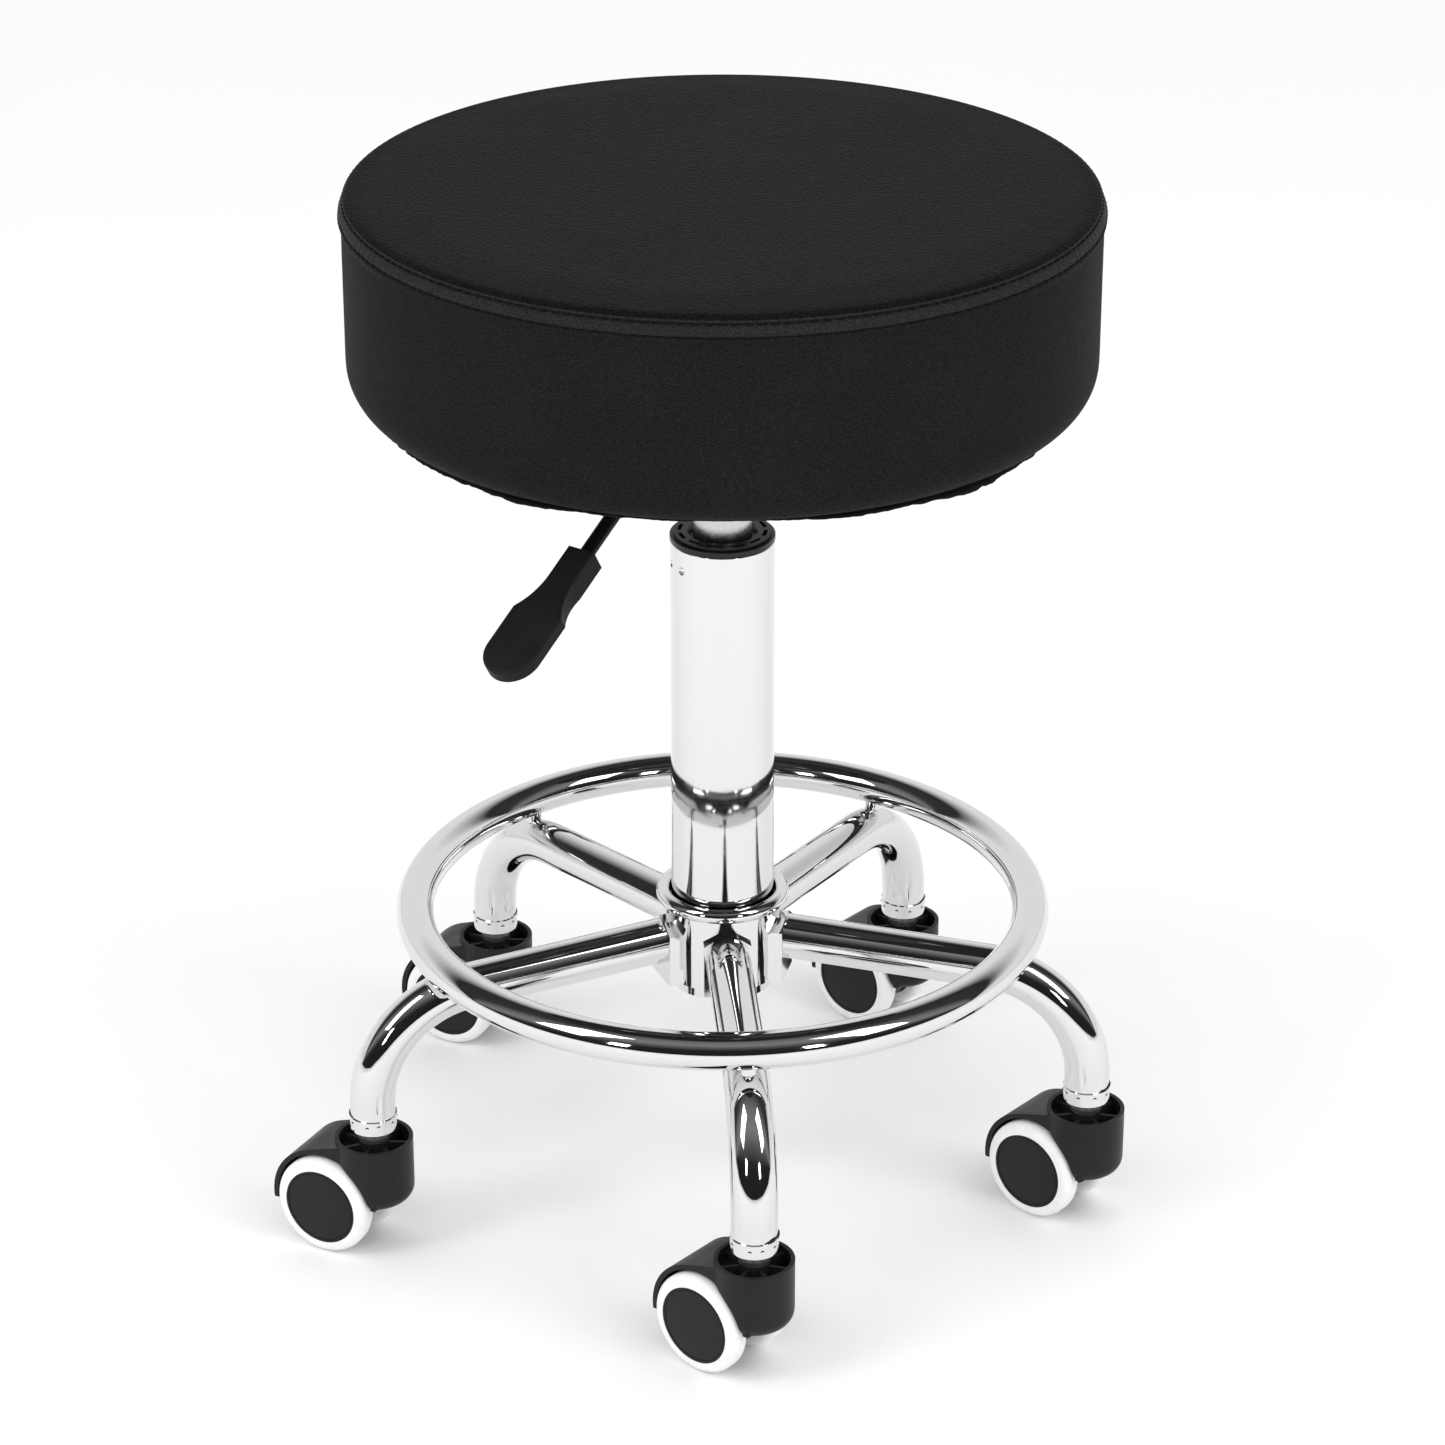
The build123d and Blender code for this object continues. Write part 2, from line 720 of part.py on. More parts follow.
with BuildPart() as stem_sockets:
    with BuildSketch(Plane.XY.offset(collar_bottom)):
        with stem_places:
            Circle(collar_radius)
    extrude(amount=collar_top - collar_bottom)
    chamfer(stem_sockets.edges().filter_by(GeomType.CIRCLE), collar_chamfer)
    with BuildSketch(Plane.XY.offset(collar_top)):
        with stem_places:
            Circle(leg_radius - leg_wall)
    extrude(amount=socket_plug_height)
    with BuildSketch(Plane.XY.offset(collar_top)):
        with stem_places:
            Circle(stem_grip_radius + socket_wall)
    extrude(amount=stem_grip_top - collar_top)
    with BuildSketch(Plane.XY.offset(collar_bottom)):
        with stem_places:
            Circle(stem_grip_radius)
    extrude(amount=stem_grip_top - collar_bottom, mode=Mode.SUBTRACT)
save(stem_sockets.part, "stem_sockets")

with BuildPart() as caster_stems:
    with BuildSketch(Plane.XY.offset(stem_shoulder_bottom)):
        with stem_places:
            Circle(stem_grip_radius)
    extrude(amount=stem_grip_top - stem_shoulder_bottom)
    with BuildSketch(Plane.XY.offset(stem_shoulder_bottom)):
        with stem_places:
            Circle(stem_shoulder_radius)
    extrude(amount=stem_shoulder_height)
    with BuildSketch(Plane.XY.offset(stem_shoulder_bottom)):
        with stem_places:
            Circle(stem_pin_radius)
    extrude(amount=stem_pin_bottom - stem_shoulder_bottom)
save(caster_stems.part, "caster_stems")

# ---------------------------------------------------------------- casters

axle_place = (caster_trail, wheel_radius)

# The straight slope of the hood leaves the cup's rim and meets the round hood as a tangent
shoulder_to_axle = sqrt((caster_trail - hood_shoulder) ** 2 + (cup_rim - wheel_radius) ** 2)
shoulder_bearing = atan2(cup_rim - wheel_radius, hood_shoulder - caster_trail)
slope_bearing = shoulder_bearing - acos(hood_radius / shoulder_to_axle)
hood_slope_x = caster_trail + hood_radius * cos(slope_bearing)
hood_slope_z = wheel_radius + hood_radius * sin(slope_bearing)

# The pocket inside the cup: its floor follows the wheel arch, and ribs join boss and wall
with BuildPart() as cup_pocket:
    with BuildSketch(Plane.XY.offset(cup_rim)):
        Circle(cup_radius - cup_wall)
    extrude(amount=cup_pocket_bottom - cup_rim)
    with BuildSketch(Plane.XY.offset(cup_boss_top)):
        Circle(cup_boss_radius)
    extrude(amount=cup_pocket_bottom - cup_boss_top, mode=Mode.SUBTRACT)
    with BuildSketch(Plane.XY.offset(cup_rib_top)):
        with PolarLocations(cup_rib_middle, cup_rib_count):
            Rectangle(cup_rib_length, cup_rib_thickness)
    extrude(amount=cup_pocket_bottom - cup_rib_top, mode=Mode.SUBTRACT)
    with BuildSketch(Plane.XZ):
        with Locations(axle_place):
            Circle(arch_radius + cup_wall)
    extrude(amount=cup_radius, both=True, mode=Mode.SUBTRACT)

with BuildPart() as housing:
    with BuildSketch(Plane.XY.offset(prow_bottom)):
        Circle(cup_radius)
    extrude(amount=cup_rim - prow_bottom)
    fillet(housing.faces().sort_by(Axis.Z)[0].edges(), prow_rounding)
    # Side view of the hood and of the web between the wheels
    tip_x = caster_trail + arch_radius * cos(radians(hood_tip_angle))
    tip_z = wheel_radius + arch_radius * sin(radians(hood_tip_angle))
    with BuildSketch(Plane.XZ):
        with Locations(axle_place):
            Circle(hood_radius)
        with BuildLine():
            Polyline(
                (tip_x, tip_z),
                (tip_x + hood_radius, tip_z - hood_lip_slope),
                (tip_x, -hood_radius),
                (-hood_radius, -hood_radius),
                (-hood_radius, prow_cut_height),
                (-hood_shoulder, prow_cut_height),
                (hood_shoulder, web_bottom),
                (caster_trail + hood_shoulder, web_bottom),
                close=True,
            )
        make_face(mode=Mode.SUBTRACT)
        with BuildLine():
            Polyline(
                (-hood_shoulder, prow_cut_height),
                (-hood_shoulder, cup_rim),
                (hood_shoulder, cup_rim),
                (hood_slope_x, hood_slope_z),
                (caster_trail, wheel_radius),
                close=True,
            )
        make_face()
    extrude(amount=hood_half_width, both=True)
    add(cup_pocket.part, mode=Mode.SUBTRACT)
    # Wheel arches, either side of the web
    for side in (1, -1):
        with BuildSketch(Plane.XZ.offset(side * web_half_width)):
            with Locations(axle_place):
                Circle(arch_radius)
        extrude(amount=side * cup_radius, mode=Mode.SUBTRACT)
    with BuildSketch(Plane.XY.offset(cup_boss_top)):
        Circle(stem_pin_radius + running_clearance)
    extrude(amount=stem_pin_bottom - cup_boss_top - stem_pin_end_gap, mode=Mode.SUBTRACT)
    with BuildSketch(Plane.XZ):
        with Locations(axle_place):
            Circle(axle_radius)
    extrude(amount=cup_radius, both=True, mode=Mode.SUBTRACT)

with BuildPart() as axle:
    with BuildSketch(Plane.XZ):
        with Locations(axle_place):
            Circle(axle_radius)
    extrude(amount=axle_half_length, both=True)
    chamfer(axle.edges().filter_by(GeomType.CIRCLE), axle_chamfer)

# Wheel sections are drawn as radius against distance from the web's middle plane
wheel_axis = Axis((caster_trail, 0, wheel_radius), (0, 1, 0))

with BuildPart() as tyre:
    with BuildSketch(Plane.YZ.offset(caster_trail)):
        with Locations((tread_inner_face, wheel_radius + tread_bore)):
            tread_width = tread_outer_face - tread_inner_face
            tread_depth = wheel_radius - tread_bore
            Rectangle(tread_width, tread_depth, align=Align.MIN)
    revolve(axis=wheel_axis)
    tread_edges = tyre.edges().filter_by(GeomType.CIRCLE).group_by(SortBy.RADIUS)[-1]
    fillet(tread_edges, tread_rounding)

with BuildPart() as wheel:
    disc_inner_face = wheel_outer_face - wheel_disc_thickness
    rim_inner = tread_bore - wheel_rim_width
    with BuildSketch(Plane.YZ.offset(caster_trail)):
        with BuildLine():
            Polyline(
                (axle_half_length + wheel_end_play, wheel_radius),
                (wheel_outer_face + wheel_dome, wheel_radius),
                (wheel_outer_face + wheel_dome - wheel_end_play, wheel_radius + rim_inner * wheel_dome_share),
                (wheel_outer_face, wheel_radius + rim_inner),
                (wheel_outer_face, wheel_radius + tread_bore),
                (tread_inner_face, wheel_radius + tread_bore),
                (tread_inner_face, wheel_radius + rim_inner),
                (disc_inner_face, wheel_radius + rim_inner),
                (disc_inner_face, wheel_radius + wheel_barrel_radius),
                (wheel_inner_face, wheel_radius + wheel_barrel_radius),
                (wheel_inner_face, wheel_radius + axle_radius + running_clearance),
                (axle_half_length + wheel_end_play, wheel_radius + axle_radius + running_clearance),
                close=True,
            )
        make_face()
    revolve(axis=wheel_axis)
    # Fine groove near the edge of the closed face
    with BuildSketch(Plane.XZ.offset(-wheel_outer_face)):
        with Locations(axle_place):
            Circle(rim_inner + wheel_dome + wheel_groove_width)
            Circle(rim_inner + wheel_dome, mode=Mode.SUBTRACT)
    extrude(amount=wheel_groove_depth, mode=Mode.SUBTRACT)

for leg_number, (leg_angle, trail_angle) in enumerate(zip(leg_angles, trail_angles), 1):
    stem_x = leg_reach * cos(radians(leg_angle))
    stem_y = leg_reach * sin(radians(leg_angle))
    near_side = Location((stem_x, stem_y, 0), (0, 0, trail_angle))
    # The other wheel is the same piece turned about the vertical through the axle
    turned = Location((2 * caster_trail, 0, 0), (0, 0, 180))
    far_side = near_side * turned
    save(housing.part, f"caster_{leg_number}_housing", near_side)
    save(axle.part, f"caster_{leg_number}_axle", near_side)
    save(tyre.part, f"caster_{leg_number}_tyre_a", near_side)
    save(wheel.part, f"caster_{leg_number}_wheel_a", near_side)
    save(tyre.part, f"caster_{leg_number}_tyre_b", far_side)
    save(wheel.part, f"caster_{leg_number}_wheel_b", far_side)
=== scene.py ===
"""Looks of the adjustable swivel stool: vinyl cushion, chrome, casters, studio and camera."""

import json
from math import atan2, cos, pi, radians, sin, sqrt, tau

import bmesh
import bpy
from mathutils import Matrix, Vector, kdtree, noise


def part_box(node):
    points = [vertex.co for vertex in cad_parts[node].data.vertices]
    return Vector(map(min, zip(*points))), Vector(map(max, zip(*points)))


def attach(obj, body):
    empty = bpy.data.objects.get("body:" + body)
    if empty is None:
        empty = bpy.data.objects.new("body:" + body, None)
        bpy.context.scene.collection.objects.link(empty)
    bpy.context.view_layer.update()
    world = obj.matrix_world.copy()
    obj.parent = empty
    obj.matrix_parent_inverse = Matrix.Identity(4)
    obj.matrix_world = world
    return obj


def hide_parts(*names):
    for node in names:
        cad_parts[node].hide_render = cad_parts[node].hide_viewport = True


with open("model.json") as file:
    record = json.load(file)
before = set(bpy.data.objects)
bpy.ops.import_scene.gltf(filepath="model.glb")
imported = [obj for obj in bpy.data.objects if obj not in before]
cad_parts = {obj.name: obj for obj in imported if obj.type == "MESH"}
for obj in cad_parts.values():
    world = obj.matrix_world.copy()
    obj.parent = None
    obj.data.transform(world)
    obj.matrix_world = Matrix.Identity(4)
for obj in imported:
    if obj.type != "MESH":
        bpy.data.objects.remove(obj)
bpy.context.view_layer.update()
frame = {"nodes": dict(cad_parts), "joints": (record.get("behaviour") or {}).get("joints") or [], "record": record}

NODES = frame["nodes"]
CASTER_NUMBERS = (1, 2, 3, 4, 5)
MM = 0.001

# Camera: where the photographer stood, worked back from the seat, the ring and the casters
CAMERA_AZIMUTH = radians(-94.61)
CAMERA_ELEVATION = radians(25.17)
CAMERA_DISTANCE = 2.2335
CAMERA_LENS = 115.64
AIM_HEIGHT = 0.2481

# Seat cover, in metres: the section's corners come from the CAD cushion
SEAT_LOW, SEAT_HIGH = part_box("seat_cover")
SEAT_RADIUS = SEAT_HIGH.x
SEAT_TOP = SEAT_HIGH.z
SEAT_BOTTOM = SEAT_LOW.z
TOP_EDGE = 6.5 * MM
BOTTOM_EDGE = 20 * MM
UPPER_SEAM_DROP = 4.6 * MM
LOWER_SEAM_DROP = 10.2 * MM
PANEL_DROP = 1.0 * MM
SIDE_INSET = 0.6 * MM
SIDE_START_DROP = 4.2 * MM
BASE_LIFT = 0.9 * MM
WRAP_STEP = 6 * MM
STITCH_COUNT = 192
STITCH_SHARE = 0.80
THREAD_RADIUS = 0.5 * MM
UPPER_THREAD_OUT = -1.4 * MM
LOWER_THREAD_OUT = 0.3 * MM
SEGMENTS = 2 * STITCH_COUNT

# How the stitches draw the vinyl in: how far above and below each seam, and how deep
UPPER_PULL = (3.4 * MM, 0.62 * MM)
LOWER_PULL = (3.0 * MM, 0.52 * MM)
WANDER_DEPTH = 0.35 * MM
WANDER_CENTRE_DROP = 4 * MM
WANDER_HEIGHT = 12 * MM

# Painted shade on the rolled rim of the top panel: where it starts and where it is darkest, as distances in from
# the seat's edge
RIM_SHADE_START = 13 * MM
RIM_SHADE_END = 4 * MM

# The simulated part of the cushion: what holds the vinyl, and how far it may swell
VOXEL = 5 * MM
PRESSURE = 4.0
SWELL_FRAMES = 20
SWELL_CAP = 1.2 * MM
HELD_BASE = 3 * MM
HELD_SEAM_HEIGHT = 9 * MM
HELD_SEAM_DEPTH = 14 * MM
HELD_SEAM_GRIP = 1.6

# Dust cover: its cloth is flat to this radius, and its edge is tucked up on one side
CLOTH_FLAT_RADIUS = 100 * MM
CLOTH_RAW_EDGE = 0.5 * MM
CLOTH_THICKNESS = 0.5 * MM
CLOTH_STEPS = 480
TUCK_ANGLE = radians(-96)

# Leg ends: the collar under the pressed joint, as in the CAD
COLLAR_HEIGHT = 8.5 * MM
# the gap is a dark tube of this radius that paints the shade in the pressed joint
GAP_REACH = 11.25 * MM
GAP_RADIUS = 0.6 * MM
GAP_STEPS = 60
DENT_COUNT = 9
DENT_RADIUS = 0.36 * MM
DENT_STEPS = 6

# Studio: grey level that polished metal reflects, by angle from the camera's side over the top
REFLECTED_ROOM = (
    (0, 0.015),
    (30, 0.02),
    (44, 0.10),
    (60, 0.24),
    (80, 0.17),
    (96, 0.04),
    (122, 0.03),
    (136, 0.6),
    (148, 0.9),
)
# Name, azimuth and elevation from the camera in degrees, width, height in metres, watts
SOFTBOXES = (
    ("softbox_left", -58, 42, 0.7, 1.5, 13),
    ("softbox_right", 58, 42, 0.7, 1.5, 13),
    ("strip_left", -34, 16, 0.25, 0.5, 3),
    ("strip_right", 30, 16, 0.25, 0.5, 3),
)
SOFTBOX_DISTANCE = 2.4
SOFTBOX_AIM = Vector((0, 0, 0.3))
FLOOR_SIZE = 60


# ---------------------------------------------------------------- material helpers


class Nodes:
    """A short way to build one material's node tree."""

    def __init__(self, name):
        self.material = bpy.data.materials.new(name)
        self.material.use_nodes = True
        self.tree = self.material.node_tree
        self.shader = self.tree.nodes["Principled BSDF"]

    def add(self, kind, values=None, **settings):
        node = self.tree.nodes.new(kind)
        for key, value in settings.items():
            setattr(node, key, value)
        for key, value in (values or {}).items():
            self.feed(value, node.inputs[key])
        return node

    def feed(self, value, socket):
        """Link a node's output to the socket, or set the socket to a plain value."""
        if isinstance(value, bpy.types.NodeSocket):
            self.tree.links.new(value, socket)
        else:
            socket.default_value = value

    def set(self, **values):
        """Set the shader's sockets, named with underscores for spaces."""
        for key, value in values.items():
            self.feed(value, self.shader.inputs[key.replace("_", " ")])

    def place(self, scale=(1, 1, 1)):
        """Coordinates in metres times scale, fixed to the piece."""
        coordinates = self.add("ShaderNodeTexCoord").outputs["Object"]
        mapping = self.add("ShaderNodeMapping", {"Vector": coordinates, "Scale": scale})
        return mapping.outputs["Vector"]

    def noise(self, vector, scale, detail=3.0, roughness=0.5):
        values = {"Vector": vector, "Scale": scale, "Detail": detail, "Roughness": roughness}
        return self.add("ShaderNodeTexNoise", values).outputs["Fac"]

    def range(self, value, low, high, start=0.0, end=1.0):
        values = {"Value": value, "From Min": start, "From Max": end, "To Min": low, "To Max": high}
        return self.add("ShaderNodeMapRange", values).outputs["Result"]

    def mix(self, factor, first, second):
        """A blend of two colours; a Mix node's colour sockets are numbers 6 and 7."""
        node = self.add("ShaderNodeMix", data_type="RGBA")
        for socket, value in ((0, factor), (6, first), (7, second)):
            self.feed(value, node.inputs[socket])
        return node.outputs[2]

    def multiply(self, first, second):
        return self.add("ShaderNodeMath", {0: first, 1: second}, operation="MULTIPLY").outputs[0]

    def bump(self, height, distance, strength=1.0, under=None):
        values = {"Height": height, "Distance": distance, "Strength": strength}
        if under is not None:
            values["Normal"] = under
        return self.add("ShaderNodeBump", values).outputs["Normal"]


def grey(level):
    return (level, level, level, 1.0)


# ---------------------------------------------------------------- materials


def make_vinyl(name, level, shine, cell, stretch, depth, rim=1.0):
    """Grained seat vinyl: pebbled cells with creases between them, drawn out round the seat.

    Painted shade darkens the rolled rim: towards the seat's edge it is rim times as light.
    """
    n = Nodes(name)
    place = n.place((1, 1, stretch))
    warp = n.add("ShaderNodeTexNoise", {"Vector": place, "Scale": 300.0, "Detail": 2.0})
    sway = {0: warp.outputs["Color"], "Scale": 0.0011}
    shift = n.add("ShaderNodeVectorMath", sway, operation="SCALE")
    warped = n.add("ShaderNodeVectorMath", {0: place, 1: shift.outputs[0]}, operation="ADD").outputs[0]
    cells = n.add("ShaderNodeTexVoronoi", {"Vector": warped, "Scale": 1 / cell}).outputs["Distance"]
    fine = n.noise(place, 3000, 3, 0.6)
    patches = n.noise(n.place(), 20, 3)
    grain = n.range(cells, 1.0, 0.0, 0.05, 0.75)
    surface = n.bump(fine, depth * 0.35, 1.0, n.bump(grain, depth))
    shade = n.range(patches, 0.94, 1.08, 0.3, 0.7)
    axes = n.add("ShaderNodeSeparateXYZ", {0: n.place()})
    flat = n.add("ShaderNodeCombineXYZ", {0: axes.outputs[0], 1: axes.outputs[1]}).outputs[0]
    reach = n.add("ShaderNodeVectorMath", {0: flat}, operation="LENGTH").outputs["Value"]
    # painted shade: the colour falls to rim times its value towards the seat's edge
    rolled = n.range(reach, 1.0, rim, SEAT_RADIUS - RIM_SHADE_START, SEAT_RADIUS - RIM_SHADE_END)
    shade = n.multiply(shade, rolled)
    tint = n.multiply(n.range(grain, 0.5, 1.2), shade)
    dye = (level, level, level * 1.04)
    colour = n.add("ShaderNodeVectorMath", {0: dye, "Scale": tint}, operation="SCALE")
    n.set(Base_Color=colour.outputs[0], Roughness=n.range(patches, 0.48, 0.53, 0.3, 0.7))
    n.set(Normal=surface, Specular_IOR_Level=shine)
    return n.material


def make_chrome():
    """Bright nickel-chrome plate with a faint ripple and a little haze."""
    n = Nodes("chrome_plate")
    place = n.place()
    ripple = n.noise(place, 55, 2)
    haze = n.noise(place, 18, 4)
    specks = n.noise(place, 900, 2)
    n.set(Base_Color=grey(0.75), Metallic=1.0)
    n.set(Roughness=n.range(haze, 0.03, 0.07, 0.3, 0.8))
    n.set(Normal=n.bump(specks, 0.000004, 0.5, n.bump(ripple, 0.00006, 0.5)))
    return n.material


def make_brushed():
    """Ground steel tube: fine rings round the tube."""
    n = Nodes("brushed_tube")
    rings = n.noise(n.place((30, 30, 5200)), 1, 3, 0.7)
    wear = n.noise(n.place(), 60, 3)
    n.set(Base_Color=n.mix(rings, grey(0.50), grey(0.66)), Metallic=1.0)
    n.set(Roughness=n.range(wear, 0.2, 0.34), Normal=n.bump(rings, 0.00004, 0.6))
    n.set(Anisotropic=0.5)
    return n.material


def make_plated():
    """Zinc-plated small parts."""
    n = Nodes("plated_steel")
    blotch = n.noise(n.place(), 240, 4)
    n.set(Base_Color=n.mix(blotch, grey(0.527), grey(0.62)), Metallic=1.0)
    n.set(Roughness=n.range(blotch, 0.28, 0.45), Normal=n.bump(blotch, 0.00003, 0.5))
    return n.material


def make_plastic(name, level, roughness, shine=0.15, grain=900, depth=0.00004):
    """Moulded plastic: a fine eroded texture, a little dust in it and softer patches."""
    n = Nodes(name)
    place = n.place()
    texture = n.noise(place, grain, 4, 0.6)
    patches = n.noise(place, 45, 3)
    n.set(Base_Color=n.mix(n.range(patches, 0.0, 1.0, 0.35, 0.7), grey(level), grey(level * 1.25)))
    n.set(Roughness=n.range(patches, roughness - 0.06, roughness + 0.07, 0.3, 0.7))
    n.set(Normal=n.bump(texture, depth, 0.7), Specular_IOR_Level=shine)
    return n.material


def make_powder_coat():
    """Black powder coat on the pressed plate."""
    n = Nodes("black_steel")
    place = n.place()
    peel = n.noise(place, 600, 2)
    n.set(Base_Color=grey(0.018), Roughness=n.range(n.noise(place, 30, 3), 0.32, 0.45))
    n.set(Normal=n.bump(peel, 0.00005, 0.6))
    return n.material


def make_tread():
    """White polyurethane tread, slightly waxy, a trace of grey where it has rolled."""
    n = Nodes("white_tread")
    place = n.place()
    scuff = n.range(n.noise(place, 130, 4, 0.6), 0.0, 1.0, 0.52, 0.75)
    n.set(Base_Color=n.mix(scuff, grey(0.86), grey(0.80)))
    n.set(Roughness=n.range(n.noise(place, 60, 3), 0.3, 0.45))
    n.set(Normal=n.bump(n.noise(place, 700, 3), 0.00003, 0.5), Subsurface_Weight=0.08)
    n.set(Subsurface_Radius=(0.004, 0.004, 0.004))
    return n.material


def make_dust_cloth():
    """Black non-woven cloth: matted fibres with small pressed points."""
    n = Nodes("dust_cloth")
    place = n.place()
    fibres = n.noise(n.place((1, 1, 0.2)), 2600, 5, 0.75)
    points = n.add("ShaderNodeTexVoronoi", {"Vector": place, "Scale": 620.0}).outputs["Distance"]
    n.set(Base_Color=n.mix(fibres, grey(0.006), grey(0.03)), Roughness=0.95)
    n.set(Normal=n.bump(fibres, 0.0003, 0.8, n.bump(points, 0.0002, 0.5)))
    n.set(Specular_IOR_Level=0.2)
    return n.material


def make_wood():
    """Plywood: grain along the sheet and its plies on edge."""
    n = Nodes("plywood")
    rings = n.noise(n.place((12, 260, 900)), 1, 4, 0.6)
    n.set(Base_Color=n.mix(rings, (0.42, 0.28, 0.15, 1), (0.62, 0.46, 0.28, 1)), Roughness=0.7)
    n.set(Normal=n.bump(rings, 0.0002, 0.5))
    return n.material


def make_foam():
    """Cut yellow foam with open pores."""
    n = Nodes("foam")
    pores = n.noise(n.place(), 900, 3)
    n.set(Base_Color=n.mix(pores, (0.6, 0.52, 0.3, 1), (0.82, 0.76, 0.5, 1)), Roughness=0.95)
    n.set(Normal=n.bump(pores, 0.0006, 0.8))
    return n.material


def make_thread():
    """Black bonded sewing thread, twisted."""
    n = Nodes("thread")
    twist = n.add("ShaderNodeTexWave", {"Vector": n.place(), "Scale": 900.0, "Distortion": 1.0})
    n.set(Base_Color=n.mix(twist.outputs["Fac"], grey(0.003), grey(0.012)), Roughness=0.8)
    n.set(Specular_IOR_Level=0.05)
    n.set(Normal=n.bump(twist.outputs["Fac"], 0.0001, 0.6))
    return n.material


def make_painted_gap_shade():
    """Painted shade for the gap left in a pressed joint: a dark mottled metal."""
    n = Nodes("pressed_gap_painted_shade")
    shade_mottle = n.noise(n.place(), 500, 3)
    n.set(Base_Color=n.mix(shade_mottle, grey(0.012), grey(0.05)), Metallic=1.0, Roughness=0.4)
    n.set(Normal=n.bump(shade_mottle, 0.0001, 0.5))
    return n.material


PAINTED_GAP_SHADE = make_painted_gap_shade()
# the top panel's last number darkens its rim as painted shade
VINYL_TOP = make_vinyl("vinyl_top", 0.0145, 0.02, 0.0014, 1.0, 0.0005, 0.6)
VINYL_SIDE = make_vinyl("vinyl_side", 0.0245, 0.015, 0.0015, 2.2, 0.0009)
# the band between the stitch lines gets a lighter colour than the top and side: painted sheen
VINYL_BAND_PAINTED_SHEEN = make_vinyl("vinyl_band_painted_sheen", 0.033, 0.06, 0.0013, 1.6, 0.0008)
VINYL_PANELS = (VINYL_TOP, VINYL_SIDE, VINYL_BAND_PAINTED_SHEEN)
CHROME = make_chrome()
THREAD = make_thread()
DUST_CLOTH = make_dust_cloth()
SLOT_LOOKS = {
    "seat_vinyl": VINYL_TOP,
    "foam": make_foam(),
    "plywood": make_wood(),
    "dust_cloth": DUST_CLOTH,
    "plated_steel": make_plated(),
    "black_steel": make_powder_coat(),
    "black_plastic": make_plastic("black_plastic", 0.0125, 0.42, 0.06),
    "brushed_tube": make_brushed(),
    "black_rubber": make_plastic("black_rubber", 0.012, 0.8, 0.1),
    "chrome_plate": CHROME,
    "caster_nylon": make_plastic("caster_nylon", 0.015, 0.42, 0.14, 1400, 0.00006),
    "white_tread": make_tread(),
}
NODE_LOOKS = {
    "guide_bush": make_plastic("bush_nylon", 0.011, 0.3, 0.3),
    "lever_rod": make_plastic("rod_coating", 0.006, 0.34, 0.12, 500, 0.00003),
}


def dress_cad_nodes():
    """Give every CAD node the finished look of its record slot."""
    for entry in frame["record"]["subparts"]:
        mesh = NODES[entry["node"]].data
        look = NODE_LOOKS.get(entry["node"], SLOT_LOOKS[entry["material_slot"]])
        mesh.materials.clear()
        mesh.materials.append(look)


# ---------------------------------------------------------------- seat cover


def section_points():
    """The cover's half section from the middle of the top to the wrap under the board.

    Each point is (radius, height, panel): panel 0 is the top, 1 the side and 2 the narrow band
    between the two stitch lines, which is coloured lighter than the rest as painted sheen.
    """
    points = []
    flat_edge = SEAT_RADIUS - TOP_EDGE
    panel_top = SEAT_TOP - PANEL_DROP
    for step in range(17):
        points.append((flat_edge * step / 16, panel_top, 0))
    for step in range(1, 6):
        turn = radians(45) * step / 5
        points.append((flat_edge + TOP_EDGE * sin(turn), panel_top - TOP_EDGE * (1 - cos(turn)), 0))
    upper = SEAT_TOP - UPPER_SEAM_DROP
    lower = SEAT_TOP - LOWER_SEAM_DROP
    for out, height, panel in (
        (-1.4, upper + 0.9 * MM, 2),
        (-2.4, upper, 2),
        (-1.3, upper - 0.8 * MM, 2),
        (-0.6, upper - 2.2 * MM, 2),
        (0.3, lower + 1.6 * MM, 2),
        (0.6, lower + 0.7 * MM, 2),
        (-0.5, lower, 2),
        (0.7, lower - 0.7 * MM, 1),
        (0.8, lower - 1.4 * MM, 1),
        (0.3, lower - 2.7 * MM, 1),
    ):
        points.append((SEAT_RADIUS + out * MM, height, panel))
    side = SEAT_RADIUS - SIDE_INSET
    base = SEAT_BOTTOM + BASE_LIFT
    side_start = lower - SIDE_START_DROP
    side_end = base + BOTTOM_EDGE
    for step in range(12):
        points.append((side, side_start + (side_end - side_start) * step / 11, 1))
    for step in range(1, 9):
        turn = radians(90) * step / 8
        points.append((side - BOTTOM_EDGE * (1 - cos(turn)), side_end - BOTTOM_EDGE * sin(turn), 1))
    for step in range(1, 4):
        points.append((side - BOTTOM_EDGE - WRAP_STEP * step, base, 1))
    return points


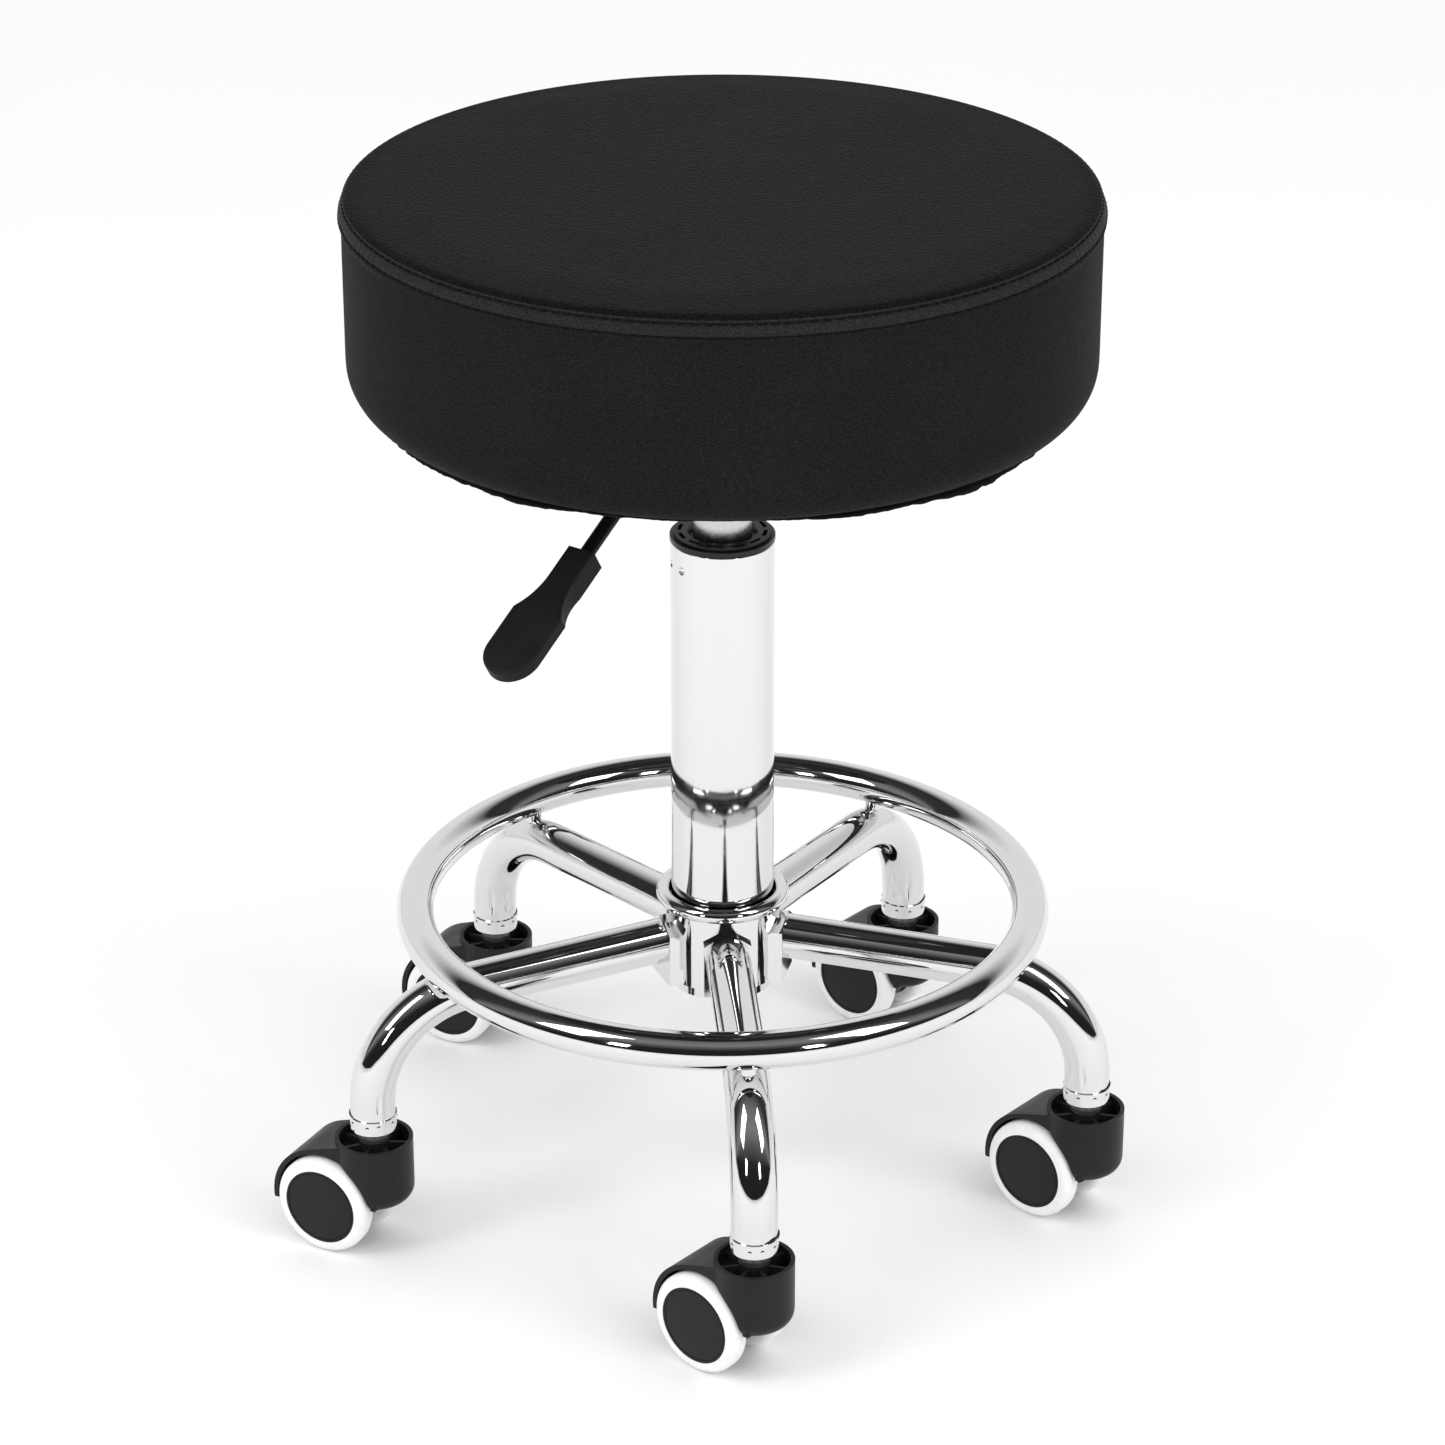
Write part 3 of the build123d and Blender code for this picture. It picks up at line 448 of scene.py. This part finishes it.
def build_cover_mesh():
    """A closed revolve of the section."""
    points = section_points()
    shell = bpy.data.meshes.new("seat_cushion")
    form = bmesh.new()
    rows = []
    for radius, height, panel in points:
        if radius < 1e-6:
            rows.append([form.verts.new((0, 0, height))])
            continue
        row = []
        for step in range(SEGMENTS):
            turn = tau * step / SEGMENTS
            row.append(form.verts.new((radius * cos(turn), radius * sin(turn), height)))
        rows.append(row)
    bottom = form.verts.new((0, 0, points[-1][1]))
    rows.append([bottom])
    for number, (inner, outer) in enumerate(zip(rows, rows[1:])):
        panel = points[min(number + 1, len(points) - 1)][2]
        for step in range(SEGMENTS):
            after = (step + 1) % SEGMENTS
            if len(inner) == 1:
                corners = [inner[0], outer[step], outer[after]]
            elif len(outer) == 1:
                corners = [inner[step], outer[0], inner[after]]
            else:
                corners = [inner[step], outer[step], outer[after], inner[after]]
            face = form.faces.new(corners)
            face.smooth = True
            face.material_index = panel
    form.normal_update()
    form.to_mesh(shell)
    form.free()
    for look in VINYL_PANELS:
        shell.materials.append(look)
    cushion = bpy.data.objects.new("seat_cushion", shell)
    bpy.context.scene.collection.objects.link(cushion)
    return cushion


def apply_modifiers(piece):
    """Bake the piece's modifiers into its mesh."""
    evaluated = piece.evaluated_get(bpy.context.evaluated_depsgraph_get())
    baked = bpy.data.meshes.new_from_object(evaluated)
    piece.modifiers.clear()
    old = piece.data
    piece.data = baked
    bpy.data.meshes.remove(old)


def held_share(spot):
    """How firmly the vinyl is held: fully at the seams and under the board, hardly on the panels."""
    radius = sqrt(spot.x**2 + spot.y**2)
    if spot.z < SEAT_BOTTOM + HELD_BASE:
        return 1.0
    seam_drop = (UPPER_SEAM_DROP + LOWER_SEAM_DROP) / 2
    near_seam = 1 - abs(spot.z - SEAT_TOP + seam_drop) / HELD_SEAM_HEIGHT
    if radius > SEAT_RADIUS - HELD_SEAM_DEPTH and near_seam > 0:
        return min(1.0, HELD_SEAM_GRIP * near_seam)
    return 0.0


def inflate(piece):
    """Blow a remeshed copy up from inside, as vinyl over foam, and take its movement over."""
    skin = piece.copy()
    skin.data = piece.data.copy()
    bpy.context.scene.collection.objects.link(skin)
    remesh = skin.modifiers.new("Remesh", "REMESH")
    remesh.mode = "VOXEL"
    remesh.voxel_size = VOXEL
    apply_modifiers(skin)
    held = skin.vertex_groups.new(name="held")
    home = [vertex.co.copy() for vertex in skin.data.vertices]
    for index, spot in enumerate(home):
        held.add([index], held_share(spot), "REPLACE")
    cloth = skin.modifiers.new("Cloth", "CLOTH")
    cloth.settings.quality = 6
    cloth.settings.mass = 0.4
    cloth.settings.tension_stiffness = 16
    cloth.settings.compression_stiffness = 10
    cloth.settings.shear_stiffness = 6
    cloth.settings.bending_stiffness = 1.5
    cloth.settings.use_pressure = True
    cloth.settings.uniform_pressure_force = PRESSURE
    cloth.settings.vertex_group_mass = "held"
    cloth.settings.effector_weights.gravity = 0
    for number in range(1, SWELL_FRAMES + 1):
        bpy.context.scene.frame_set(number)
    apply_modifiers(skin)
    bpy.context.scene.frame_set(1)
    tree = kdtree.KDTree(len(home))
    for index, spot in enumerate(home):
        tree.insert(spot, index)
    tree.balance()
    for vertex in piece.data.vertices:
        total, weight = Vector(), 0.0
        for spot, index, distance in tree.find_n(vertex.co, 4):
            share = 1 / (distance + 0.5 * MM)
            total += share * (skin.data.vertices[index].co - home[index])
            weight += share
        move = total / weight
        vertex.co += move * min(1.0, SWELL_CAP / max(move.length, 1e-9))
    bpy.data.objects.remove(skin)


def pucker(piece):
    """Draw the vinyl in at every stitch and let it swell a little between them."""
    upper = SEAT_TOP - UPPER_SEAM_DROP
    lower = SEAT_TOP - LOWER_SEAM_DROP
    for vertex in piece.data.vertices:
        spot = vertex.co
        radius = sqrt(spot.x**2 + spot.y**2)
        if radius < SEAT_RADIUS * 0.9 or spot.z < lower - 16 * MM:
            continue
        turn = atan2(spot.y, spot.x) / tau * STITCH_COUNT
        pull = 0.5 + 0.5 * cos(tau * turn)
        around = 0.0
        for seam, (reach, depth) in ((upper, UPPER_PULL), (lower, LOWER_PULL)):
            distance = abs(spot.z - seam) / reach
            around += depth * max(0.0, 1 - distance) * (pull - 0.5)
        wander = noise.noise(Vector((spot.x * 60, spot.y * 60, spot.z * 90)))
        fade = max(0.0, 1 - abs(spot.z - lower + WANDER_CENTRE_DROP) / WANDER_HEIGHT)
        push = -around + WANDER_DEPTH * wander * fade
        scale = (radius + push) / radius
        vertex.co = Vector((spot.x * scale, spot.y * scale, spot.z))


def build_stitches():
    """Thread lying in both seam lines, a short capsule for every stitch."""
    rows = (
        (SEAT_RADIUS + UPPER_THREAD_OUT, SEAT_TOP - UPPER_SEAM_DROP),
        (SEAT_RADIUS + LOWER_THREAD_OUT, SEAT_TOP - LOWER_SEAM_DROP),
    )
    shell = bpy.data.meshes.new("seat_stitches")
    form = bmesh.new()
    length = tau * SEAT_RADIUS / STITCH_COUNT * STITCH_SHARE
    for radius, height in rows:
        for step in range(STITCH_COUNT):
            turn = tau * (step + 0.5) / STITCH_COUNT
            slant = 0.05 * noise.noise(Vector((step * 1.7, height * 100, 0)))
            lie = Matrix.Translation((radius * cos(turn), radius * sin(turn), height))
            lie = lie @ Matrix.Rotation(turn, 4, "Z") @ Matrix.Rotation(slant, 4, "X")
            rings = []
            for part in range(7):
                along = -length / 2 + length * part / 6
                bow = cos(pi * (part / 6 - 0.5))
                size = THREAD_RADIUS * (0.35 + 0.65 * bow)
                ring = []
                for side in range(6):
                    roll = tau * side / 6
                    spot = Vector((size * cos(roll) - 0.35 * MM * (1 - bow), along, size * sin(roll)))
                    ring.append(form.verts.new(lie @ spot))
                rings.append(ring)
            for first, second in zip(rings, rings[1:]):
                for side in range(6):
                    after = (side + 1) % 6
                    face = form.faces.new((first[side], first[after], second[after], second[side]))
                    face.smooth = True
            form.faces.new(rings[0])
            form.faces.new(list(reversed(rings[-1])))
    bmesh.ops.recalc_face_normals(form, faces=form.faces)
    form.to_mesh(shell)
    form.free()
    shell.materials.append(THREAD)
    stitches = bpy.data.objects.new("seat_stitches", shell)
    bpy.context.scene.collection.objects.link(stitches)
    return stitches


def make_seat():
    """The cushion, which stands for the cover with its foam, and its stitches."""
    cushion = build_cover_mesh()
    inflate(cushion)
    subdivide = cushion.modifiers.new("Subdivision", "SUBSURF")
    subdivide.levels = 1
    subdivide.render_levels = 1
    subdivide.use_limit_surface = False
    apply_modifiers(cushion)
    pucker(cushion)
    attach(cushion, "seat")
    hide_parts("seat_cover", "seat_foam")
    stitches = build_stitches()
    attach(stitches, "seat")


# ---------------------------------------------------------------- dust cover


def make_dust_cover():
    """Thin black cloth stapled under the board: its raw edge ripples, and hangs but for a tuck."""
    low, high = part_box("dust_cover")
    plane = (low.z + high.z) / 2
    edge = high.x + CLOTH_RAW_EDGE
    loose = edge - CLOTH_FLAT_RADIUS
    shell = bpy.data.meshes.new("dust_cloth_sheet")
    form = bmesh.new()
    rings = [0.0, 0.03, 0.06, 0.09] + [CLOTH_FLAT_RADIUS + loose * part / 16 for part in range(17)]
    rows = []
    for radius in rings:
        if radius == 0:
            rows.append([form.verts.new((0, 0, plane))])
            continue
        row = []
        for step in range(CLOTH_STEPS):
            turn = tau * step / CLOTH_STEPS
            out = max(0.0, (radius - CLOTH_FLAT_RADIUS) / loose)
            ruffle = noise.noise(Vector((3.2 * cos(turn), 3.2 * sin(turn), 4.0)))
            small = noise.noise(Vector((17 * cos(turn), 17 * sin(turn), 9.0)))
            tiny = noise.noise(Vector((60 * cos(turn), 60 * sin(turn), 2.0)))
            tuck = max(0.0, cos(turn - TUCK_ANGLE)) ** 14
            hang = (1.1 + 1.2 * ruffle + 0.7 * small + 0.3 * tiny) * MM * out**3 * (1 - tuck)
            reach = radius + (1.6 * ruffle + 0.8 * small + 0.5 * tiny - 5.5 * tuck) * MM * out**4
            height = plane - max(0.0, hang)
            row.append(form.verts.new((reach * cos(turn), reach * sin(turn), height)))
        rows.append(row)
    for inner, outer in zip(rows, rows[1:]):
        for step in range(CLOTH_STEPS):
            after = (step + 1) % CLOTH_STEPS
            if len(inner) == 1:
                corners = (inner[0], outer[step], outer[after])
            else:
                corners = (inner[step], outer[step], outer[after], inner[after])
            form.faces.new(corners).smooth = True
    form.to_mesh(shell)
    form.free()
    shell.materials.append(DUST_CLOTH)
    cloth = bpy.data.objects.new("dust_cloth_sheet", shell)
    bpy.context.scene.collection.objects.link(cloth)
    solid = cloth.modifiers.new("Solidify", "SOLIDIFY")
    solid.thickness = CLOTH_THICKNESS
    solid.offset = 0.0
    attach(cloth, "seat")
    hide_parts("dust_cover")


# ---------------------------------------------------------------- leg ends


def tube_along(form, spots, thick, sides=8):
    """A closed-ended tube of this radius through the spots, thinner towards both ends."""
    rings = []
    for index, spot in enumerate(spots):
        ahead = spots[min(index + 1, len(spots) - 1)] - spots[max(index - 1, 0)]
        side = ahead.cross(Vector((0, 0, 1))).normalized()
        up = side.cross(ahead).normalized()
        share = index / (len(spots) - 1)
        size = thick * max(0.15, sin(pi * share)) ** 0.5
        ring = []
        for corner in range(sides):
            roll = tau * corner / sides
            ring.append(form.verts.new(spot + size * (cos(roll) * side + sin(roll) * up)))
        rings.append(ring)
    for first, second in zip(rings, rings[1:]):
        for corner in range(sides):
            after = (corner + 1) % sides
            form.faces.new((first[corner], first[after], second[after], second[corner])).smooth = True
    form.faces.new(rings[0])
    form.faces.new(list(reversed(rings[-1])))


def make_leg_end(number, x, y, collar_top, reach):
    """Painted shade: a dark wavy tube in the gap where the tube is pressed on its socket, and small dark marks for
    dents in the collar.
    """
    shell = bpy.data.meshes.new(f"leg_{number}_gap")
    form = bmesh.new()
    gap = []
    for step in range(GAP_STEPS + 1):
        turn = radians(-95 + number * 17) + radians(215) * step / GAP_STEPS
        wave = noise.noise(Vector((2.2 * cos(turn) + number * 5, 2.2 * sin(turn), number)))
        height = collar_top + 1.0 * MM * wave
        gap.append(Vector((x + reach * cos(turn), y + reach * sin(turn), height)))
    tube_along(form, gap, GAP_RADIUS)
    for mark in range(DENT_COUNT):
        start = tau * mark / DENT_COUNT + 0.3 * noise.noise(Vector((mark * 3.1, number, 0)))
        height = collar_top - (3.4 + 1.6 * noise.noise(Vector((mark * 1.9, number * 2.3, 1)))) * MM
        dent = []
        for step in range(DENT_STEPS + 1):
            turn = start + 0.16 * step / DENT_STEPS
            lift = 0.5 * MM * sin(pi * step / DENT_STEPS)
            out = reach + 0.12 * MM
            dent.append(Vector((x + out * cos(turn), y + out * sin(turn), height + lift)))
        tube_along(form, dent, DENT_RADIUS, 6)
    bmesh.ops.recalc_face_normals(form, faces=form.faces)
    form.to_mesh(shell)
    form.free()
    shell.materials.append(PAINTED_GAP_SHADE)
    piece = bpy.data.objects.new(f"leg_{number}_gap", shell)
    bpy.context.scene.collection.objects.link(piece)
    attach(piece, "base")


def make_leg_ends():
    """One painted-shade gap round each leg end, at the caster's swivel axis."""
    low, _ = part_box("stem_sockets")
    collar_top = low.z + COLLAR_HEIGHT
    for number in CASTER_NUMBERS:
        name = f"caster_{number}_swivel"
        stem = next(joint for joint in frame["joints"] if joint["name"] == name)
        x, y, _ = stem["pos_m"]
        make_leg_end(number, x, y, collar_top, GAP_REACH)


# ---------------------------------------------------------------- studio


def make_floor():
    """A plain pale floor, wide enough to reach the horizon."""
    bpy.ops.mesh.primitive_plane_add(size=FLOOR_SIZE)
    floor = bpy.context.object
    floor.name = "studio_floor"
    n = Nodes("studio_floor")
    mottle = n.noise(n.place(), 3, 3)
    n.set(Base_Color=n.mix(mottle, grey(0.90), grey(0.92)), Roughness=0.7, Specular_IOR_Level=0.2)
    floor.data.materials.append(n.material)


def make_world():
    """White cyclorama behind, a dark room in front and overhead, as the chrome shows it."""
    world = bpy.data.worlds.new("studio")
    world.use_nodes = True
    bpy.context.scene.world = world
    tree = world.node_tree
    back = tree.nodes["Background"]
    coordinates = tree.nodes.new("ShaderNodeTexCoord")
    toward = tree.nodes.new("ShaderNodeVectorMath")
    toward.operation = "DOT_PRODUCT"
    toward.inputs[1].default_value = (cos(CAMERA_AZIMUTH), sin(CAMERA_AZIMUTH), 0)
    tree.links.new(coordinates.outputs["Generated"], toward.inputs[0])
    split = tree.nodes.new("ShaderNodeSeparateXYZ")
    tree.links.new(coordinates.outputs["Generated"], split.inputs[0])
    over = tree.nodes.new("ShaderNodeMath")
    over.operation = "ARCTAN2"
    tree.links.new(split.outputs["Z"], over.inputs[0])
    tree.links.new(toward.outputs["Value"], over.inputs[1])
    share = tree.nodes.new("ShaderNodeMath")
    share.operation = "DIVIDE"
    share.inputs[1].default_value = pi
    tree.links.new(over.outputs[0], share.inputs[0])
    ramp = tree.nodes.new("ShaderNodeValToRGB")
    tree.links.new(share.outputs[0], ramp.inputs[0])
    bands = ramp.color_ramp.elements
    while len(bands) < len(REFLECTED_ROOM):
        bands.new(0.5)
    for band, (angle, level) in zip(bands, REFLECTED_ROOM):
        band.position = angle / 180
        band.color = grey(level)
    path = tree.nodes.new("ShaderNodeLightPath")
    choose = tree.nodes.new("ShaderNodeMix")
    choose.data_type = "RGBA"
    choose.inputs[6].default_value = grey(1.0)
    tree.links.new(path.outputs["Is Glossy Ray"], choose.inputs[0])
    tree.links.new(ramp.outputs["Color"], choose.inputs[7])
    tree.links.new(choose.outputs[2], back.inputs["Color"])
    back.inputs["Strength"].default_value = 1.0


def make_softbox(name, azimuth, elevation, width, height, power):
    """A rectangular softbox that faces the stool."""
    light = bpy.data.lights.new(name, "AREA")
    light.shape = "RECTANGLE"
    light.size = width
    light.size_y = height
    light.energy = power
    lamp = bpy.data.objects.new(name, light)
    turn = CAMERA_AZIMUTH + radians(azimuth)
    rise = radians(elevation)
    toward = Vector((cos(rise) * cos(turn), cos(rise) * sin(turn), sin(rise)))
    lamp.location = SOFTBOX_AIM + SOFTBOX_DISTANCE * toward
    lamp.rotation_euler = (-toward).to_track_quat("-Z", "Y").to_euler()
    lamp.visible_camera = False
    bpy.context.scene.collection.objects.link(lamp)


def make_camera():
    """The camera at the photographer's place, aimed at the stool's axis."""
    lens = bpy.data.cameras.new("camera")
    lens.lens = CAMERA_LENS
    lens.clip_end = 50
    camera = bpy.data.objects.new("camera", lens)
    aim = Vector((0, 0, AIM_HEIGHT))
    flat = CAMERA_DISTANCE * cos(CAMERA_ELEVATION)
    rise = CAMERA_DISTANCE * sin(CAMERA_ELEVATION)
    camera.location = aim + Vector((flat * cos(CAMERA_AZIMUTH), flat * sin(CAMERA_AZIMUTH), rise))
    camera.rotation_euler = (aim - camera.location).to_track_quat("-Z", "Y").to_euler()
    bpy.context.scene.collection.objects.link(camera)
    bpy.context.scene.camera = camera


dress_cad_nodes()
make_seat()
make_dust_cover()
make_leg_ends()
make_floor()
make_world()
for softbox in SOFTBOXES:
    make_softbox(*softbox)
make_camera()
bpy.context.scene.view_settings.view_transform = "Standard"
